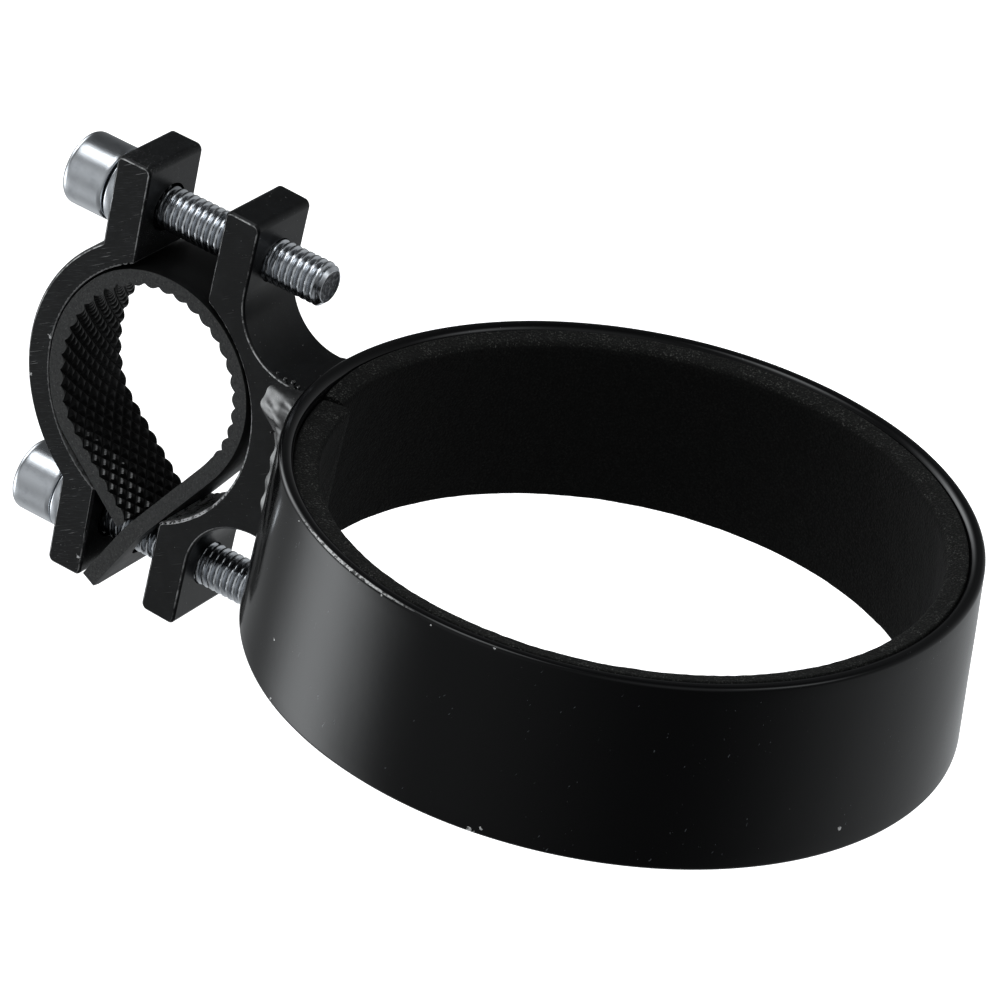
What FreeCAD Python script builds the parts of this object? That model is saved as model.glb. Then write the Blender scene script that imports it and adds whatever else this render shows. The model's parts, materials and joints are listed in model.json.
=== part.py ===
"""Clamp-on cup holder: a foam-lined ring welded to one half of a two-bolt tube clamp.

Units are millimetres. The origin is the axis of the bar that the clamp grips.
+Y runs along the bar, +X points from the bar to the cup ring, and +Z is up.
The clamp block's ears stand upright. The loose cap and both bolts are tilted a
little, as the play in the threads allows. The ring is a slightly conical band, so
it leans back by its own wall's slope, and the upright block meets its wall flat.
"""
import FreeCAD, Part
import Sketcher
import math
import os

DIMENSIONS = {
    # both halves of the clamp
    "clamp_width": 11.5,
    "ear_thickness": 5.3,
    "bolt_tilt": 1.7,
    "upper_bolt_rise": 23.3,
    "lower_bolt_drop": 22.9,
    "corner_radius": 0.9,
    "edge_chamfer": 0.35,
    "groove_depth": 0.25,
    "groove_step": 3.0,
    # fixed half, whose bore centre lies behind its ear face
    "block_height": 60.5,
    "block_middle_height": -2.45,
    "block_ear_face": 5.4,
    "block_bore_radius": 18.9,
    "block_bore_setback": 8.6,
    "neck_height": 23.2,
    "neck_fillet": 8.7,
    "thread_hole_radius": 3.05,
    "weld_root_gap": 0.05,
    # loose half, square to the tilted bolts
    "cap_height": 61.0,
    "cap_centre_across": 3.2,
    "cap_centre_height": -2.5,
    "cap_bore_radius": 19.1,
    "cap_outer_radius": 22.5,
    "cap_setback": 8.7,
    "cap_hole_radius": 3.35,
    "cap_root_fillet": 0.3,
    # cup ring
    "ring_wall_across": 23.0,
    "ring_wall_height": 0.1,
    "ring_top_radius": 44.0,
    "ring_bottom_radius": 45.6,
    "ring_height": 24.7,
    "ring_thickness": 2.0,
    "ring_edge_radius": 0.6,
    # foam liner and the adhesive film behind it
    "adhesive_thickness": 0.12,
    "foam_thickness": 2.9,
    "foam_top_recess": 1.5,
    "foam_bottom_recess": 0.3,
    "foam_edge_radius": 0.5,
    "seam_angle": 190.0,
    "seam_opening": 0.7,
    # rubber strip around the bar
    "bar_radius": 12.5,
    "strip_thickness": 2.35,
    "strip_width": 12.8,
    "strip_shift": 0.6,
    "strip_bolt_hole": 3.6,
    # bolts and washers
    "thread_radius": 3.0,
    "bolt_length": 32.45,
    "bolt_tip_chamfer": 0.7,
    "head_radius": 5.0,
    "head_height": 6.5,
    "head_edge_radius": 0.5,
    "key_size": 5.0,
    "key_depth": 3.2,
    "washer_radius": 5.05,
    "washer_hole_radius": 3.3,
    "washer_thickness": 1.5,
    "upper_seat_gap": 0.35,
    "lower_seat_gap": 0.1,
    # weld beads in the corners between block and ring
    "bead_radius": 2.4,
    "bead_length": 19.0,
    "bead_end_radius": 1.6,
}

doc = FreeCAD.newDocument("clamp_cup_holder")
sheet = doc.addObject("Spreadsheet::Sheet", "Dimensions")
for row, (alias, value) in enumerate(DIMENSIONS.items(), start=1):
    sheet.set(f"A{row}", alias)
    sheet.set(f"B{row}", str(value))
    sheet.setAlias(f"B{row}", alias)
doc.recompute()


# ------------------------------------------------------------------ helpers

def size(alias):
    """Read one driving dimension from the sheet."""
    return float(sheet.get(alias))


def cells(text):
    """Turn each @alias into a reference to its cell."""
    return text.replace("@", "Dimensions.")


def value_of(item, text):
    """Work an expression in @alias form out as a plain number."""
    result = item.evalExpression(cells(text))
    return float(getattr(result, "Value", result))


def bind(item, path, text):
    """Bind one property to an expression in @alias form."""
    item.setExpression(path, cells(text))


def new_body(label):
    """Start a sub-part, whose label names its node."""
    body = doc.addObject("PartDesign::Body", label)
    body.Label = label
    return body


def new_sketch(body, name, role):
    """Attach a sketch to one of the body's own origin planes."""
    sketch = body.newObject("Sketcher::SketchObject", name)
    plane = next(item for item in body.Origin.OriginFeatures if item.Role == role)
    sketch.AttachmentSupport = [(plane, "")]
    sketch.MapMode = "FlatFace"
    return sketch


def hold_point(sketch, geometry, vertex, point):
    """Hold a vertex at two expressions, measured from the sketch's origin."""
    for kind, text in zip(("DistanceX", "DistanceY"), point):
        constraint = Sketcher.Constraint(kind, -1, 1, geometry, vertex, value_of(sketch, text))
        index = sketch.addConstraint(constraint)
        sketch.setExpression(f"Constraints[{index}]", cells(text))


def polygon_sketch(body, name, role, points):
    """A closed outline whose corners are pairs of expressions."""
    sketch = new_sketch(body, name, role)
    corners = [FreeCAD.Vector(value_of(sketch, across), value_of(sketch, up), 0) for across, up in points]
    count = len(corners)
    for index in range(count):
        sketch.addGeometry(Part.LineSegment(corners[index], corners[(index + 1) % count]), False)
    for index in range(count):
        sketch.addConstraint(Sketcher.Constraint("Coincident", index, 2, (index + 1) % count, 1))
    for index, point in enumerate(points):
        hold_point(sketch, index, 1, point)
    return sketch


def circle_sketch(body, name, role, centres, radius):
    """Equal circles at pairs of expressions."""
    sketch = new_sketch(body, name, role)
    normal = FreeCAD.Vector(0, 0, 1)
    for index, centre in enumerate(centres):
        middle = FreeCAD.Vector(value_of(sketch, centre[0]), value_of(sketch, centre[1]), 0)
        sketch.addGeometry(Part.Circle(middle, normal, value_of(sketch, radius)), False)
        hold_point(sketch, index, 3, centre)
        limit = sketch.addConstraint(Sketcher.Constraint("Radius", index, value_of(sketch, radius)))
        sketch.setExpression(f"Constraints[{limit}]", cells(radius))
    return sketch


def extrude(body, kind, name, sketch, length):
    """A symmetric pad or pocket of a sketch."""
    feature = body.newObject(f"PartDesign::{kind}", name)
    feature.Profile = sketch
    feature.SideType = "Symmetric"
    bind(feature, "Length", length)
    doc.recompute()
    return feature


def revolve(body, name, sketch, axis, angle="360"):
    """A revolution of a sketch about one of its own axes."""
    feature = body.newObject("PartDesign::Revolution", name)
    feature.Profile = sketch
    feature.ReferenceAxis = (sketch, [axis])
    bind(feature, "Angle", angle)
    doc.recompute()
    return feature


def dress(body, kind, name, edges, length):
    """Fillet or chamfer the edges of the body's tip that a test picks out."""
    base = body.Tip
    names = [f"Edge{index}" for index, edge in enumerate(base.Shape.Edges, start=1) if edges(edge)]
    if not names:
        raise RuntimeError(f"{body.Label}: {name} finds no edge")
    feature = body.newObject(f"PartDesign::{kind}", name)
    feature.Base = (base, names)
    bind(feature, "Radius" if kind == "Fillet" else "Size", length)
    doc.recompute()
    return feature


def must_cut(body, before, name):
    """Stop if a pocket, groove or cut took nothing away."""
    if body.Shape.Volume > before - 1e-3:
        raise RuntimeError(f"{body.Label}: {name} cuts nothing")


def cut_through(body, name, sketch, length):
    """A symmetric pocket that has to take something away."""
    before = body.Shape.Volume
    extrude(body, "Pocket", name, sketch, length)
    must_cut(body, before, name)


def along_y(edge):
    """A straight edge that runs along Y."""
    if len(edge.Vertexes) != 2 or edge.Curve.TypeId != "Part::GeomLine":
        return False
    return abs(edge.Curve.Direction.y) > 0.99


def on_side_face(edge, width):
    """An edge that lies wholly in the front or back face of a clamp half."""
    box = edge.BoundBox
    return box.YLength < 1e-4 and abs(abs(box.YMin) - width / 2) < 1e-4


def place(item, position, turn_about_y=0.0, turn_about_z=0.0):
    """Put a sub-part in the holder's frame."""
    turn = FreeCAD.Rotation(FreeCAD.Vector(0, 1, 0), turn_about_y)
    spin = FreeCAD.Rotation(FreeCAD.Vector(0, 0, 1), turn_about_z)
    item.Placement = FreeCAD.Placement(FreeCAD.Vector(*position), turn.multiply(spin))


# --------------------------------------------------------- places of groups

CONE_SLOPE = math.degrees(math.atan2(size("ring_bottom_radius") - size("ring_top_radius"), size("ring_height")))
RING_MIDDLE_RADIUS = (size("ring_top_radius") + size("ring_bottom_radius")) / 2
RING_CENTRE = (
    size("ring_wall_across") + RING_MIDDLE_RADIUS * math.cos(math.radians(CONE_SLOPE)),
    0.0,
    size("ring_wall_height") + RING_MIDDLE_RADIUS * math.sin(math.radians(CONE_SLOPE)),
)
BLOCK_CENTRE = (size("block_ear_face") - size("block_bore_setback"), 0.0, size("block_middle_height"))
CAP_CENTRE = (size("cap_centre_across"), 0.0, size("cap_centre_height"))
SEAT_ACROSS = -size("cap_setback") - size("ear_thickness")
BOLT_RISES = {"upper": size("upper_bolt_rise"), "lower": -size("lower_bolt_drop")}


def cap_point(across, up):
    """Turn a point of the cap's own XZ plane into the holder's frame."""
    turn = FreeCAD.Rotation(FreeCAD.Vector(0, 1, 0), -size("bolt_tilt"))
    return FreeCAD.Vector(*CAP_CENTRE) + turn.multVec(FreeCAD.Vector(across, 0, up))


def on_bolt(side, across):
    """A point on a bolt's axis, at a distance from the cap's centre."""
    return cap_point(across, BOLT_RISES[side])


# ----------------------------------------------------------- ring and liner

def ring_radius(rise):
    """Expression of the ring's outer radius at a height above its middle."""
    slope = "(@ring_bottom_radius - @ring_top_radius) / @ring_height"
    return f"((@ring_top_radius + @ring_bottom_radius) / 2 - ({rise}) * {slope})"


def band_sketch(body, outer_inset, inner_inset, top, bottom):
    """A conical band's section, set in from the ring's outer wall."""
    points = [
        (f"{ring_radius(bottom)} - ({inner_inset})", bottom),
        (f"{ring_radius(bottom)} - ({outer_inset})", bottom),
        (f"{ring_radius(top)} - ({outer_inset})", top),
        (f"{ring_radius(top)} - ({inner_inset})", top),
    ]
    return polygon_sketch(body, f"{body.Label}_section", "XZ_Plane", points)


def round_rims(body, name, radius):
    """Round every circular rim of a revolved band."""
    return dress(body, "Fillet", name, lambda edge: edge.Curve.TypeId == "Part::GeomCircle", radius)


def holder_ring():
    """The metal band that the cup stands in."""
    body = new_body("holder_ring")
    sketch = band_sketch(body, "0", "@ring_thickness", "@ring_height / 2", "-@ring_height / 2")
    revolve(body, "band", sketch, "V_Axis")
    round_rims(body, "rounded_rims", "@ring_edge_radius")
    place(body, RING_CENTRE, -CONE_SLOPE)
    return body


FOAM_TOP = "@ring_height / 2 - @foam_top_recess"
FOAM_BOTTOM = "-@ring_height / 2 + @foam_bottom_recess"


def foam_liner():
    """The foam band, a strip bent round with its ends almost meeting."""
    body = new_body("foam_liner")
    outer = "@ring_thickness + @adhesive_thickness"
    sketch = band_sketch(body, outer, f"{outer} + @foam_thickness", FOAM_TOP, FOAM_BOTTOM)
    revolve(body, "band", sketch, "V_Axis", "360 - @seam_opening")
    reach = size("ring_bottom_radius") - size("ring_thickness") - size("foam_thickness")
    inner = lambda edge: edge.Curve.TypeId == "Part::GeomCircle" and edge.Curve.Radius < reach
    dress(body, "Fillet", "soft_edges", inner, "@foam_edge_radius")
    place(body, RING_CENTRE, -CONE_SLOPE, size("seam_angle"))
    return body


def liner_adhesive():
    """The film of adhesive between the foam and the ring."""
    body = new_body("liner_adhesive")
    top = f"{FOAM_TOP} - 1"
    bottom = f"{FOAM_BOTTOM} + 1"
    sketch = band_sketch(body, "@ring_thickness", "@ring_thickness + @adhesive_thickness", top, bottom)
    revolve(body, "film", sketch, "V_Axis")
    place(body, RING_CENTRE, -CONE_SLOPE)
    return body


def ring_cut(body, extra):
    """Cut a sub-part back to the ring's outer wall, leaving a gap of extra."""
    before = body.Shape.Volume
    cut = body.newObject("PartDesign::SubtractiveCone", "ring_clearance")
    bind(cut, "Radius1", f"{ring_radius('-@ring_height')} + {extra}")
    bind(cut, "Radius2", f"{ring_radius('@ring_height')} + {extra}")
    bind(cut, "Height", "2 * @ring_height")
    turn = FreeCAD.Rotation(FreeCAD.Vector(0, 1, 0), -CONE_SLOPE)
    down = turn.multVec(FreeCAD.Vector(0, 0, -size("ring_height")))
    ring = FreeCAD.Placement(FreeCAD.Vector(*RING_CENTRE) + down, turn)
    cut.Placement = body.Placement.inverse().multiply(ring)
    doc.recompute()
    must_cut(body, before, "ring_clearance")


# -------------------------------------------------------------------- clamp

def bore_grooves(body, radius, first, count):
    """Fine gripping grooves along the bore, repeated round it."""
    lip = "0.1"
    half = "@groove_step * 0.42"
    points = [
        (f"({radius} - {lip}) * cos({first} - {half})", f"({radius} - {lip}) * sin({first} - {half})"),
        (f"({radius} + @groove_depth) * cos({first})", f"({radius} + @groove_depth) * sin({first})"),
        (f"({radius} - {lip}) * cos({first} + {half})", f"({radius} - {lip}) * sin({first} + {half})"),
    ]
    sketch = polygon_sketch(body, "groove_section", "XZ_Plane", points)
    before = body.Shape.Volume
    groove = extrude(body, "Pocket", "groove", sketch, "2 * @clamp_width")
    pattern = body.newObject("PartDesign::PolarPattern", "grooves")
    pattern.Originals = [groove]
    pattern.Axis = (sketch, ["N_Axis"])
    pattern.Reversed = True
    bind(pattern, "Angle", f"{count - 1} * @groove_step")
    pattern.Occurrences = count
    body.Tip = pattern
    doc.recompute()
    must_cut(body, before, "grooves")


def bolt_hole(body, side, radius):
    """A hole along one bolt's axis, right through a sub-part."""
    before = body.Shape.Volume
    hole = body.newObject("PartDesign::SubtractiveCylinder", f"{side}_bolt_hole")
    bind(hole, "Radius", radius)
    bind(hole, "Height", "@cap_height")
    turn = FreeCAD.Rotation(FreeCAD.Vector(0, 1, 0), 90 - size("bolt_tilt"))
    start = on_bolt(side, -size("cap_height") / 2)
    hole.Placement = body.Placement.inverse().multiply(FreeCAD.Placement(start, turn))
    doc.recompute()
    must_cut(body, before, f"{side}_bolt_hole")


def clamp_block():
    """The fixed half: two ears, half a bore and the neck that meets the ring."""
    body = new_body("clamp_block")
    place(body, BLOCK_CENTRE)
    face = "@block_bore_setback"
    back = f"({face} + @ear_thickness)"
    wall = "(@ring_wall_across - @block_ear_face + @block_bore_setback + 2)"
    points = [
        (face, "-@block_height / 2"),
        (back, "-@block_height / 2"),
        (back, "-@neck_height / 2"),
        (wall, "-@neck_height / 2"),
        (wall, "@neck_height / 2"),
        (back, "@neck_height / 2"),
        (back, "@block_height / 2"),
        (face, "@block_height / 2"),
    ]
    outline = polygon_sketch(body, "outline", "XZ_Plane", points)
    extrude(body, "Pad", "slab", outline, "@clamp_width")
    neck = size("neck_height") / 2
    at_neck = lambda edge: along_y(edge) and abs(abs(edge.BoundBox.ZMin) - neck) < 0.01 and (
        edge.BoundBox.XMax < value_of(sheet, wall) - 1)
    dress(body, "Fillet", "neck_flare", at_neck, "@neck_fillet")
    bore = circle_sketch(body, "bore_section", "XZ_Plane", [("0", "0")], "@block_bore_radius")
    cut_through(body, "bore", bore, "2 * @clamp_width")
    ear = size("block_height") / 2
    near_face = size("block_bore_setback") + size("ear_thickness") + 0.1
    at_corner = lambda edge: along_y(edge) and edge.BoundBox.XMax < near_face and (
        abs(edge.BoundBox.ZMin) > ear - 0.1 or edge.BoundBox.XMax < size("block_bore_setback") + 0.1)
    dress(body, "Fillet", "rounded_corners", at_corner, "@corner_radius")
    outside = lambda edge: on_side_face(edge, size("clamp_width")) and not (
        edge.Curve.TypeId == "Part::GeomCircle" and abs(edge.Curve.Radius - size("block_bore_radius")) < 0.01)
    dress(body, "Chamfer", "broken_edges", outside, "@edge_chamfer")
    ring_cut(body, "@weld_root_gap")
    for side in BOLT_RISES:
        bolt_hole(body, side, "@thread_hole_radius")
    bore_grooves(body, "@block_bore_radius", "-57", 39)
    return body


def clamp_cap():
    """The loose half: an arched strap between two ears."""
    body = new_body("clamp_cap")
    place(body, CAP_CENTRE, -size("bolt_tilt"))
    disc = circle_sketch(body, "strap_section", "XZ_Plane", [("0", "0")], "@cap_outer_radius")
    extrude(body, "Pad", "strap", disc, "@clamp_width")
    points = [
        ("-@cap_setback - @ear_thickness", "-@cap_height / 2"),
        ("-@cap_setback", "-@cap_height / 2"),
        ("-@cap_setback", "@cap_height / 2"),
        ("-@cap_setback - @ear_thickness", "@cap_height / 2"),
    ]
    ears = polygon_sketch(body, "ear_section", "XZ_Plane", points)
    extrude(body, "Pad", "ears", ears, "@clamp_width")
    bore = circle_sketch(body, "bore_section", "XZ_Plane", [("0", "0")], "@cap_bore_radius")
    cut_through(body, "bore", bore, "2 * @clamp_width")
    points = [
        ("-@cap_setback", "-@cap_height"),
        ("@cap_height", "-@cap_height"),
        ("@cap_height", "@cap_height"),
        ("-@cap_setback", "@cap_height"),
    ]
    open_side = polygon_sketch(body, "open_side", "XZ_Plane", points)
    cut_through(body, "open_half", open_side, "2 * @clamp_width")
    ear = size("cap_height") / 2
    at_root = lambda edge: along_y(edge) and abs(edge.BoundBox.XMin - SEAT_ACROSS) < 0.01 and (
        abs(edge.BoundBox.ZMin) < ear - 1)
    dress(body, "Fillet", "strap_roots", at_root, "@cap_root_fillet")
    at_corner = lambda edge: along_y(edge) and abs(edge.BoundBox.ZMin) > ear - 0.1
    dress(body, "Fillet", "rounded_corners", at_corner, "@corner_radius")
    outside = lambda edge: on_side_face(edge, size("clamp_width")) and not (
        edge.Curve.TypeId == "Part::GeomCircle" and abs(edge.Curve.Radius - size("cap_bore_radius")) < 0.01)
    dress(body, "Chamfer", "broken_edges", outside, "@edge_chamfer")
    for side in BOLT_RISES:
        bolt_hole(body, side, "@cap_hole_radius")
    bore_grooves(body, "@cap_bore_radius", "123", 39)
    return body


# -------------------------------------------------------------- rubber strip

def strip_path():
    """The strip's route, from its long tail up round the bar to its short tail.

    Each leg is a straight length, or an arc with the radius of the face on the
    bar's side and the angle it turns through, positive to the left.
    """
    far_radius = size("cap_bore_radius") - size("strip_thickness") - 0.2
    return [
        ("line", 9.7),
        ("arc", 20.0, -7.0),
        ("line", 15.5),
        ("arc", 17.0, 23.0),
        ("arc", size("bar_radius"), 150.0),
        ("arc", far_radius, 65.0),
        ("arc", 10.0, 25.5),
        ("line", 13.2),
    ]


LONG_TAIL_HEADING = 64.0


def walk(path, offset):
    """Follow the path at an offset to its right, as lines and arcs."""
    heading = math.radians(LONG_TAIL_HEADING)
    point = FreeCAD.Vector(math.sin(heading), -math.cos(heading), 0) * offset
    legs = []
    for leg in path:
        forward = FreeCAD.Vector(math.cos(heading), math.sin(heading), 0)
        left = FreeCAD.Vector(-forward.y, forward.x, 0)
        if leg[0] == "line":
            end = point + forward * leg[1]
            legs.append(("line", point, end, None, None))
        else:
            turn = math.radians(leg[2])
            side = math.copysign(1.0, turn)
            radius = leg[1] + side * offset
            centre = point + left * (side * radius)
            end = centre + spun(point - centre, turn)
            middle = centre + spun(point - centre, turn / 2)
            legs.append(("arc", point, end, middle, centre))
            heading += turn
        point = end
    return legs


def spun(vector, turn):
    """Turn a flat vector to the left."""
    across = vector.x * math.cos(turn) - vector.y * math.sin(turn)
    up = vector.x * math.sin(turn) + vector.y * math.cos(turn)
    return FreeCAD.Vector(across, up, 0)


def leg_curve(leg, shift):
    """One leg as sketch geometry, moved by shift."""
    kind, start, end, middle, centre = leg
    if kind == "line":
        return Part.LineSegment(start + shift, end + shift)
    return Part.Arc(start + shift, middle + shift, end + shift)


def grip_strip():
    """The rubber strip: round the bar, its two tails crossing in the lower gap."""
    body = new_body("grip_strip")
    near = walk(strip_path(), 0.0)
    far = walk(strip_path(), size("strip_thickness"))
    bar_arc = 4
    shift = near[bar_arc][4] * -1.0
    sketch = new_sketch(body, "strip_section", "XZ_Plane")
    for leg in near + far:
        sketch.addGeometry(leg_curve(leg, shift), False)
    for first, last in ((near[0][1], far[0][1]), (near[-1][2], far[-1][2])):
        sketch.addGeometry(Part.LineSegment(first + shift, last + shift), False)
    extrude(body, "Pad", "strip", sketch, "@strip_width")
    place(body, (0, size("strip_shift"), 0))
    bolt_hole(body, "lower", "@strip_bolt_hole")
    return body


# --------------------------------------------------------- bolts and washers

def socket_screw(side):
    """A socket-head cap screw along its own X, its head's seat at its own origin."""
    body = new_body(f"{side}_bolt")
    head = "@head_height"
    points = [
        (f"-{head}", "0"),
        (f"-{head}", "@head_radius"),
        ("0", "@head_radius"),
        ("0", "@thread_radius"),
        ("@bolt_length - @bolt_tip_chamfer", "@thread_radius"),
        ("@bolt_length", "@thread_radius - @bolt_tip_chamfer"),
        ("@bolt_length", "0"),
    ]
    revolve(body, "shank_and_head", polygon_sketch(body, "half_section", "XZ_Plane", points), "H_Axis")
    top = -size("head_height")
    rim = lambda edge: edge.Curve.TypeId == "Part::GeomCircle" and abs(edge.BoundBox.XMin - top) < 1e-4
    dress(body, "Fillet", "head_edge", rim, "@head_edge_radius")
    corner = "(@key_size / 2 / cos(30))"
    hexagon = [(f"{corner} * cos({60 * turn})", f"{corner} * sin({60 * turn})") for turn in range(6)]
    socket = polygon_sketch(body, "key_section", "YZ_Plane", hexagon)
    socket.setExpression(".AttachmentOffset.Base.z", cells(f"-{head}"))
    doc.recompute()
    before = body.Shape.Volume
    pocket = body.newObject("PartDesign::Pocket", "key_socket")
    pocket.Profile = socket
    pocket.Reversed = True
    bind(pocket, "Length", "@key_depth")
    doc.recompute()
    must_cut(body, before, "key_socket")
    under_head = SEAT_ACROSS - size("washer_thickness") - size(f"{side}_seat_gap")
    place(body, on_bolt(side, under_head), -size("bolt_tilt"))
    return body


def flat_washer(side):
    """A flat washer that lies against the cap's ear under the bolt's head."""
    body = new_body(f"{side}_washer")
    points = [
        ("-@washer_thickness", "@washer_hole_radius"),
        ("-@washer_thickness", "@washer_radius"),
        ("0", "@washer_radius"),
        ("0", "@washer_hole_radius"),
    ]
    revolve(body, "disc", polygon_sketch(body, "half_section", "XZ_Plane", points), "H_Axis")
    place(body, on_bolt(side, SEAT_ACROSS), -size("bolt_tilt"))
    return body


# --------------------------------------------------------------- weld beads

def weld_bead(label, side):
    """A bead that fills the upright corner between the block's side and the ring."""
    body = new_body(label)
    edge = side * size("clamp_width") / 2
    middle = size("block_middle_height")
    bead = body.newObject("PartDesign::AdditiveCylinder", "bead")
    bind(bead, "Radius", "@bead_radius")
    bind(bead, "Height", "@bead_length")
    wall = size("ring_wall_across") + edge * edge / (2 * RING_MIDDLE_RADIUS)
    bead.Placement.Base = FreeCAD.Vector(wall, edge, middle - size("bead_length") / 2)
    doc.recompute()
    ends = lambda item: item.Curve.TypeId == "Part::GeomCircle"
    dress(body, "Fillet", "rounded_ends", ends, "@bead_end_radius")
    block = body.newObject("PartDesign::SubtractiveBox", "block_clearance")
    bind(block, "Length", "@ring_wall_across")
    bind(block, "Width", "@clamp_width")
    bind(block, "Height", "@block_height")
    corner = FreeCAD.Vector(wall - size("ring_wall_across") + 2, -size("clamp_width") / 2, 0)
    block.Placement.Base = corner + FreeCAD.Vector(0, 0, middle - size("block_height") / 2)
    doc.recompute()
    ring_cut(body, "0")
    return body


# ------------------------------------------------------------------- output

def build_all():
    """Make every sub-part of the holder."""
    parts = [holder_ring(), foam_liner(), liner_adhesive(), clamp_block(), clamp_cap(), grip_strip()]
    parts += [weld_bead("weld_bead_front", -1), weld_bead("weld_bead_back", 1)]
    for side in BOLT_RISES:
        parts += [socket_screw(side), flat_washer(side)]
    return parts


def check_document():
    """Stop on any object that failed to compute."""
    for item in doc.Objects:
        if "Invalid" in item.State or "Error" in item.State:
            raise RuntimeError(f"{item.Name} failed: {item.State}")


def write_parts(parts):
    """Write one STEP file for each sub-part."""
    os.makedirs("parts", exist_ok=True)
    for item in parts:
        shape = item.Shape
        if shape.isNull() or not shape.isValid() or len(shape.Solids) != 1:
            raise RuntimeError(f"{item.Label} is not one valid solid")
        shape.exportStep(f"parts/{item.Label}.step")
        box = shape.BoundBox
        spans = [f"{low:.2f}..{high:.2f}" for low, high in (
            (box.XMin, box.XMax), (box.YMin, box.YMax), (box.ZMin, box.ZMax))]
        print(item.Label, *spans, f"volume {shape.Volume:.1f}")


all_parts = build_all()
doc.recompute()
check_document()
write_parts(all_parts)
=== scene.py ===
"""Looks of the clamp-on cup holder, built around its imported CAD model.

Lengths are in metres, in the CAD's frame: +Y runs along the bar, +X points from
the bar to the cup ring, and +Z is up. Names that end in _MM are in millimetres.
"""

import json
import math

import bmesh
import bpy
import numpy as np
from mathutils import Matrix, Vector, noise


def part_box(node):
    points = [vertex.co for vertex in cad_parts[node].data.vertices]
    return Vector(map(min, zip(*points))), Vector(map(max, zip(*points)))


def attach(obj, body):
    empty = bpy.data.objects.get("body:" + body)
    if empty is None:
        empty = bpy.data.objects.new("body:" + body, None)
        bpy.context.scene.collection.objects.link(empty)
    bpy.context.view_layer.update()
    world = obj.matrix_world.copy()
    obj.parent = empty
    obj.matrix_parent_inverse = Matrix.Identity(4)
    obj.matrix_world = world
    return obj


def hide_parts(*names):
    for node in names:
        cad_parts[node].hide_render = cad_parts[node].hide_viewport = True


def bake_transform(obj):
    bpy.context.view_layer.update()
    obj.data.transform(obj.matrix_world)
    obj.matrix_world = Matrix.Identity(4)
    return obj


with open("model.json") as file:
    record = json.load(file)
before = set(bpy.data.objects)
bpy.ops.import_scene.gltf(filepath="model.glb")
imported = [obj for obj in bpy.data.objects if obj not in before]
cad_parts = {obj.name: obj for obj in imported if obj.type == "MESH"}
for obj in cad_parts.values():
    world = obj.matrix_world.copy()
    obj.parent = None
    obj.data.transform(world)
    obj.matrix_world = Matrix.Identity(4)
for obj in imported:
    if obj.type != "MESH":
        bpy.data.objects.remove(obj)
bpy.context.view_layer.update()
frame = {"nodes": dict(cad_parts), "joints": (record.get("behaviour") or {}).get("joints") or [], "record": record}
NODES = frame["nodes"]
MOUNTS = {mount["name"]: mount for mount in frame["record"]["mounts"]}
JOINTS = {joint["name"]: joint for joint in frame["joints"]}
MM = 0.001
ALONG_BAR = Vector((0, 1, 0))

# The cup ring's own frame: its middle, its axis, and the way from the bar.
RING_MIDDLE = Vector(MOUNTS["cup_seat"]["pos_m"])
RING_UP = Vector(MOUNTS["cup_seat"]["axis"]).normalized()
RING_AWAY = ALONG_BAR.cross(RING_UP)

RING_TOP_RADIUS_MM = 44.0
RING_BOTTOM_RADIUS_MM = 45.6
RING_HEIGHT_MM = 24.7
RING_THICKNESS_MM = 2.0
FOAM_THICKNESS_MM = 2.9
FOAM_TOP_RECESS_MM = 1.5
FOAM_BOTTOM_RECESS_MM = 0.3
ADHESIVE_MM = 0.12

BARE_METAL = (0.9, 0.9, 0.89)
DUST = (0.2, 0.2, 0.19)


# ------------------------------------------------------------------ materials

class Nodes:
    """A node tree, with short names for making its nodes and linking them."""

    def __init__(self, tree):
        self.tree = tree

    def node(self, kind, **settings):
        made = self.tree.nodes.new(kind)
        for key, value in settings.items():
            setattr(made, key, value)
        return made

    def feed(self, socket, value):
        """Link an output to a socket, or set the socket to a plain value."""
        if isinstance(value, bpy.types.NodeSocket):
            self.tree.links.new(value, socket)
        else:
            socket.default_value = value

    def math(self, operation, *values, clamp=True):
        """A math node's result, held between 0 and 1 unless clamp is off."""
        made = self.node("ShaderNodeMath", operation=operation, use_clamp=clamp)
        for socket, value in zip(made.inputs, values):
            self.feed(socket, value)
        return made.outputs["Value"]

    def vector_math(self, operation, first, second):
        made = self.node("ShaderNodeVectorMath", operation=operation)
        self.feed(made.inputs[0], first)
        self.feed(made.inputs[1], second)
        return made.outputs


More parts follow.
